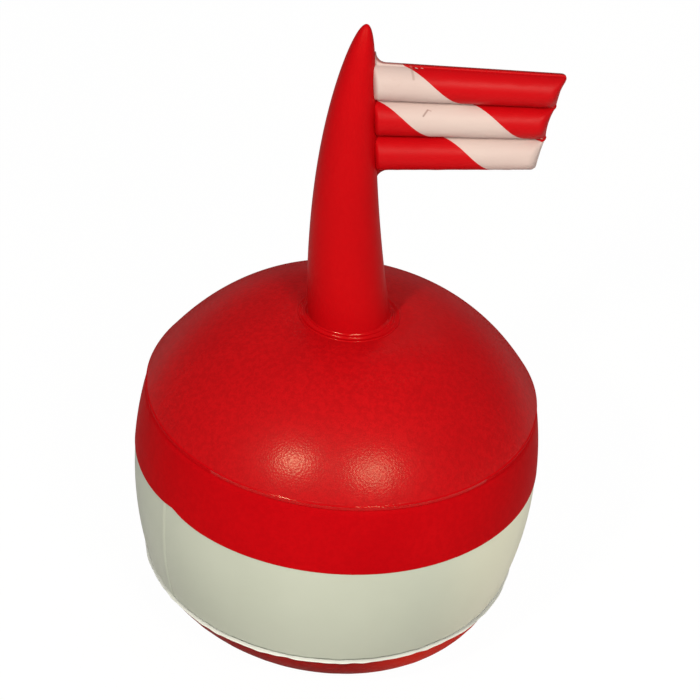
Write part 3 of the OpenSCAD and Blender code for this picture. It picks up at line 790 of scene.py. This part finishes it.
def makePlastic(name, look):
    material, tree, shader = newMaterial(name)
    tone = useGroup(tree, toneGroup, Film=look["film"], Deep=look["deep"], Dirt=look["dirt"], Dirty=look["dirty"])
    grain = useGroup(tree, grainGroup, Cells=look["cells"], Uneven=plasticFinish["uneven"])
    tree.links.new(tone.outputs["Color"], shader.inputs["Base Color"])
    least, most = look["gloss"] - plasticFinish["glossVary"], look["gloss"] + plasticFinish["glossVary"]
    tree.links.new(ramp(tree, tone.outputs["Gloss"], 0.3, 0.7, least, most), shader.inputs["Roughness"])
    bump = bumpFrom(tree, grain.outputs["Height"], look["grain"], plasticFinish["grainDepth"])
    tree.links.new(bump, shader.inputs["Normal"])
    shader.inputs["Specular IOR Level"].default_value = plasticFinish["specular"]
    return material


valveLook = {"film": (0.66, 0.68, 0.66, 1), "deep": (0.58, 0.6, 0.58, 1), "dirt": (0.35, 0.3, 0.22, 1),
             "dirty": 0.25, "cells": 2400.0, "grain": 0.1, "gloss": 0.42}
valvePlastic = makePlastic("valvePlastic", valveLook)
dress(makeValve(), valvePlastic, "buoy", "valve_plastic", "valve_body")
dress(makePlug(), valvePlastic, "buoy", "valve_plastic", "valve_plug")

# ring patch in the recess, webbing loop and its stitches
tie = {"patchR": 32.0, "patchT": 1.0, "patchRound": 0.45, "weldRings": (30.4, 16.0, 13), "ringDeep": 0.14,
       "pinZ": 11.0, "webW": 22.0, "webT": 1.5, "bend": 3.05, "tailZ": 18.25, "tailX": 13.3}
patchLow = body["recessZ"] - tie["patchT"]
patchLine = [(tie["patchR"] - 0.1, body["recessZ"])]
patchLine += roundCorner(tie["patchR"] - tie["patchRound"], patchLow + tie["patchRound"], tie["patchRound"], 0, -90)
for r in np.linspace(*tie["weldRings"]):  # pressed weld rings
    ringLow = patchLow + tie["ringDeep"]
    patchLine += [(r + 0.35, patchLow), (r + 0.12, ringLow), (r - 0.12, ringLow), (r - 0.35, patchLow)]
patchLine.append((0.02, patchLow))
dress(turned("ringPatch", patchLine[::-1], 160), baseFilm, "buoy", "red_film", "ring_patch")


def loopPath():
    x, z = tie["tailX"], tie["tailZ"]
    points = [(-x, z), (-x + 3, z), (-6.0, z), (-4.2, z - 0.1), (-3.35, z - 0.7), (-tie["bend"], z - 2)]
    for a in np.linspace(math.pi, 2 * math.pi, 19):  # round the ring's bar
        points.append((tie["bend"] * math.cos(a), tie["pinZ"] + tie["bend"] * math.sin(a)))
    points += [(-a, b) for a, b in points[5::-1]]
    return np.array(points)


def makeLoop():
    path = loopPath()
    along = np.gradient(path, axis=0)
    along /= np.linalg.norm(along, axis=1)[:, None]
    side = np.stack([along[:, 1], -along[:, 0]], 1)
    length = np.concatenate([[0], np.cumsum(np.linalg.norm(np.diff(path, axis=0), axis=1))])
    half, w = tie["webT"] / 2 - 0.05, tie["webW"] / 2
    section = [(-w + 0.1, -half * 0.5), (-w + 0.5, -half)]
    section += [(y, -half) for y in np.linspace(-w + 1.2, w - 1.2, 13)]
    section += [(w - 0.5, -half), (w - 0.1, -half * 0.5)]
    section += [(y, -t) for y, t in section[::-1]]
    verts, coords = [], []
    for p, n, d in zip(path, side, length):
        for y, t in section:
            q = p + n * t
            verts.append((q[0] * mm, y * mm, q[1] * mm))
            coords.append((d * mm, y * mm))
    count = len(section)
    faces = gridFaces(len(path), count, True)
    faces += [tuple(range(count)), tuple(len(verts) - 1 - k for k in range(count))]
    obj = addMesh("ringLoop", verts, faces, 50)
    layer = obj.data.uv_layers.new(name="weave")
    for loop in obj.data.loops:
        layer.data[loop.index].uv = coords[loop.vertex_index]
    return obj


webbingLook = {"film": (0.025, 0.025, 0.028, 1), "deep": (0.015, 0.015, 0.018, 1), "dirt": (0.16, 0.14, 0.11, 1),
               "dirty": 0.35, "light": (0.07, 0.07, 0.075, 1), "paintedSheenShow": 0.5, "warp": 5200.0, "weft": 4200.0,
               "lean": 1.6, "bump": 0.6, "bumpDepth": 0.0003, "sheen": 0.2}


def makeWebbing():
    material, tree, shader = newMaterial("webbing")
    weave = tree.nodes.new("ShaderNodeUVMap")
    weave.uv_map = "weave"
    split = tree.nodes.new("ShaderNodeSeparateXYZ")
    tree.links.new(weave.outputs[0], split.inputs[0])
    warp = mathNode(tree, "SINE", mathNode(tree, "MULTIPLY", split.outputs[1], webbingLook["warp"]))
    along = mathNode(tree, "MULTIPLY", split.outputs[0], webbingLook["weft"])
    weft = mathNode(tree, "SINE", mathNode(tree, "MULTIPLY_ADD", warp, webbingLook["lean"], along))
    weftRise = mathNode(tree, "MULTIPLY", weft, 0.4)
    height = mathNode(tree, "MULTIPLY_ADD", mathNode(tree, "ABSOLUTE", warp), 0.6, weftRise)
    tone = useGroup(tree, toneGroup, Film=webbingLook["film"], Deep=webbingLook["deep"],
                    Dirt=webbingLook["dirt"], Dirty=webbingLook["dirty"])
    # painted sheen: the raised yarns are painted lighter than the gaps between them
    light = mathNode(tree, "MULTIPLY", ramp(tree, height, -0.2, 0.9), webbingLook["paintedSheenShow"])
    colour = blendColour(tree, light, tone.outputs["Color"], webbingLook["light"])
    tree.links.new(colour, shader.inputs["Base Color"])
    tree.links.new(ramp(tree, height, -0.3, 0.9, 0.85, 0.62), shader.inputs["Roughness"])
    bump = bumpFrom(tree, height, webbingLook["bump"], webbingLook["bumpDepth"])
    tree.links.new(bump, shader.inputs["Normal"])
    shader.inputs["Sheen Weight"].default_value = webbingLook["sheen"]
    return material


stitches = {"rows": (-6.6, -11.4, 6.6, 11.4), "reach": 9.5, "pitch": 1.9, "long": 1.5, "thick": 0.2, "rise": 0.35,
            "sunk": 0.12, "rings": 7, "sides": 6}


def makeStitches():
    verts, faces = [], []
    faceZ = tie["tailZ"] - tie["webT"] / 2 + stitches["sunk"]
    for x in stitches["rows"]:
        for y in np.arange(-stitches["reach"], stitches["reach"] + 0.1, stitches["pitch"]):
            base = len(verts)
            for t in np.linspace(0, 1, stitches["rings"]):
                z = faceZ - stitches["rise"] * math.sin(math.pi * t)
                for g in np.linspace(0, math.tau, stitches["sides"], endpoint=False):
                    verts.append(((x + stitches["thick"] * math.cos(g)) * mm,
                                  (y + stitches["long"] * (t - 0.5)) * mm,
                                  (z + stitches["thick"] * math.sin(g)) * mm))
            faces += gridFaces(stitches["rings"], stitches["sides"], True, base)
    return addMesh("loopStitches", verts, faces)


dress(makeLoop(), makeWebbing(), "buoy", "webbing", "ring_loop")
threadLook = {"film": (0.05, 0.05, 0.055, 1), "deep": (0.03, 0.03, 0.034, 1), "dirt": (0.2, 0.17, 0.13, 1),
              "dirty": 0.3, "cells": 5000.0, "grain": 0.4, "gloss": 0.6}
dress(makeStitches(), makePlastic("stitchThread", threadLook), "buoy", "webbing")

# steel tie ring: the solid stays, with a drawn-wire finish
steelLook = {"film": (0.58, 0.59, 0.6, 1), "deep": (0.5, 0.51, 0.52, 1), "dirt": (0.25, 0.2, 0.15, 1), "dirty": 0.35,
             "lines": (2600.0, 160.0, 2600.0), "gloss": (0.2, 0.38), "bump": 0.15, "bumpDepth": 0.0001}


def makeSteel():
    material, tree, shader = newMaterial("ringSteel")
    spot = tree.nodes.new("ShaderNodeTexCoord").outputs["Object"]
    draw = addNode(tree, "ShaderNodeMapping")
    draw.inputs["Scale"].default_value = steelLook["lines"]
    tree.links.new(spot, draw.inputs["Vector"])
    lines = addNode(tree, "ShaderNodeTexNoise", Scale=1.0, Detail=3.0)
    tree.links.new(draw.outputs[0], lines.inputs["Vector"])
    tone = useGroup(tree, toneGroup, Film=steelLook["film"], Deep=steelLook["deep"],
                    Dirt=steelLook["dirt"], Dirty=steelLook["dirty"])
    tree.links.new(tone.outputs["Color"], shader.inputs["Base Color"])
    tree.links.new(ramp(tree, lines.outputs[0], 0.3, 0.7, *steelLook["gloss"]), shader.inputs["Roughness"])
    bump = bumpFrom(tree, lines.outputs[0], steelLook["bump"], steelLook["bumpDepth"])
    tree.links.new(bump, shader.inputs["Normal"])
    shader.inputs["Metallic"].default_value = 1.0
    return material


ringSteel = makeSteel()
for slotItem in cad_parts["tie_ring"].material_slots:
    slotItem.material = ringSteel
print("valve, patch, loop and ring made")

# camera at the photograph's place
camera = {"place": (-0.12209, -1.31609, 1.14017), "right": (0.995983, -0.040815, 0.079697),
          "up": (-0.042824, 0.564546, 0.82429), "forward": (0.078636, 0.824392, -0.56053), "lens": 102.951, "sensor": 36.0}
camData = bpy.data.cameras.new("photoCamera")
camData.lens, camData.sensor_width, camData.sensor_fit = camera["lens"], camera["sensor"], "HORIZONTAL"
camObj = bpy.data.objects.new("photoCamera", camData)
bpy.context.collection.objects.link(camObj)
axes = Matrix((camera["right"], camera["up"], tuple(-v for v in camera["forward"]))).transposed()
camObj.matrix_world = Matrix.Translation(camera["place"]) @ axes.to_4x4()
bpy.context.scene.camera = camObj

# pale floor: white to the camera, paler than its paint in reflections, with a soft shadow
studio = {"floor": 8.0, "floorZ": -0.0005, "paint": (0.55, 0.55, 0.55, 1), "white": 0.95, "glow": 1.03,
          "mirrored": 0.12, "fill": 0.22, "horizon": 0.16, "ceiling": 0.05}


def seenRays(tree):  # masks for what the camera sees directly, and for what gloss and glass show
    path = tree.nodes.new("ShaderNodeLightPath")
    gloss = mathNode(tree, "MAXIMUM", path.outputs["Is Glossy Ray"], path.outputs["Is Transmission Ray"])
    return path.outputs["Is Camera Ray"], gloss


half = studio["floor"] / 2
floorCorners = [(x * half, y * half, studio["floorZ"]) for x, y in ((-1, -1), (1, -1), (1, 1), (-1, 1))]
floorObj = addMesh("floor", floorCorners, [(0, 1, 2, 3)])
floorMaterial = bpy.data.materials.new("paleFloor")
floorMaterial.use_nodes = True
tree = floorMaterial.node_tree
tree.nodes.clear()
paint = addNode(tree, "ShaderNodeBsdfDiffuse", Color=studio["paint"])
glow = addNode(tree, "ShaderNodeEmission", Color=(1, 1, 1, 1), Strength=studio["glow"])
mix, end = tree.nodes.new("ShaderNodeMixShader"), tree.nodes.new("ShaderNodeOutputMaterial")
direct, gloss = seenRays(tree)
mirrored = mathNode(tree, "MULTIPLY", gloss, studio["mirrored"])
tree.links.new(mathNode(tree, "MULTIPLY_ADD", direct, studio["white"], mirrored), mix.inputs[0])
tree.links.new(paint.outputs[0], mix.inputs[1])
tree.links.new(glow.outputs[0], mix.inputs[2])
tree.links.new(mix.outputs[0], end.inputs[0])
floorObj.data.materials.append(floorMaterial)

# white to the camera; in reflections the backdrop is paler low down and dim overhead
world = bpy.data.worlds.new("studio")
bpy.context.scene.world = world
world.use_nodes = True
tree = world.node_tree
sky = tree.nodes["Background"]
sky.inputs["Color"].default_value = (1, 1, 1, 1)
split = tree.nodes.new("ShaderNodeSeparateXYZ")
tree.links.new(tree.nodes.new("ShaderNodeTexCoord").outputs["Generated"], split.inputs[0])
backdrop = ramp(tree, split.outputs[2], 0.05, 0.3, studio["horizon"], studio["ceiling"])
direct, gloss = seenRays(tree)
other = mathNode(tree, "SUBTRACT", 1.0, mathNode(tree, "MAXIMUM", direct, gloss))
plain = mathNode(tree, "MULTIPLY_ADD", other, studio["fill"], direct)
strength = mathNode(tree, "MULTIPLY_ADD", gloss, backdrop, plain)
tree.links.new(strength, sky.inputs["Strength"])

# disk softboxes by turn and rise in degrees, away and size in metres
lamps = {"left": {"turn": -124.7, "rise": 41.0, "away": 1.9, "size": 0.16, "power": 19.0, "tint": (1.0, 0.95, 0.82)},
         "right": {"turn": -69.6, "rise": 39.4, "away": 1.9, "size": 0.6, "power": 19.5, "tint": (1.0, 0.95, 0.82)},
         "rear": {"turn": 75.0, "rise": 32.0, "away": 2.2, "size": 1.1, "power": 9.0, "tint": (1.0, 0.96, 0.88)},
         "side": {"turn": -12.0, "rise": 0.0, "away": 1.9, "size": 0.7, "power": 1.5, "tint": (1.0, 0.95, 0.82)}}
aim = Vector((0, -0.1, 0.2))
for name, lamp in lamps.items():
    light = bpy.data.lights.new(name + "Softbox", "AREA")
    light.shape, light.size, light.energy = "DISK", lamp["size"], lamp["power"]
    light.color = lamp["tint"]
    t, e = math.radians(lamp["turn"]), math.radians(lamp["rise"])
    toward = Vector((math.cos(t) * math.cos(e), math.sin(t) * math.cos(e), math.sin(e)))
    obj = bpy.data.objects.new(name + "Softbox", light)
    obj.location = aim + toward * lamp["away"]
    obj.rotation_euler = toward.to_track_quat("Z", "Y").to_euler()
    obj.visible_glossy = name in ("left", "right")  # the other two are soft fill and leave no highlight
    bpy.context.collection.objects.link(obj)

bpy.context.scene.view_settings.view_transform = "Standard"
print("camera, floor and lamps set")
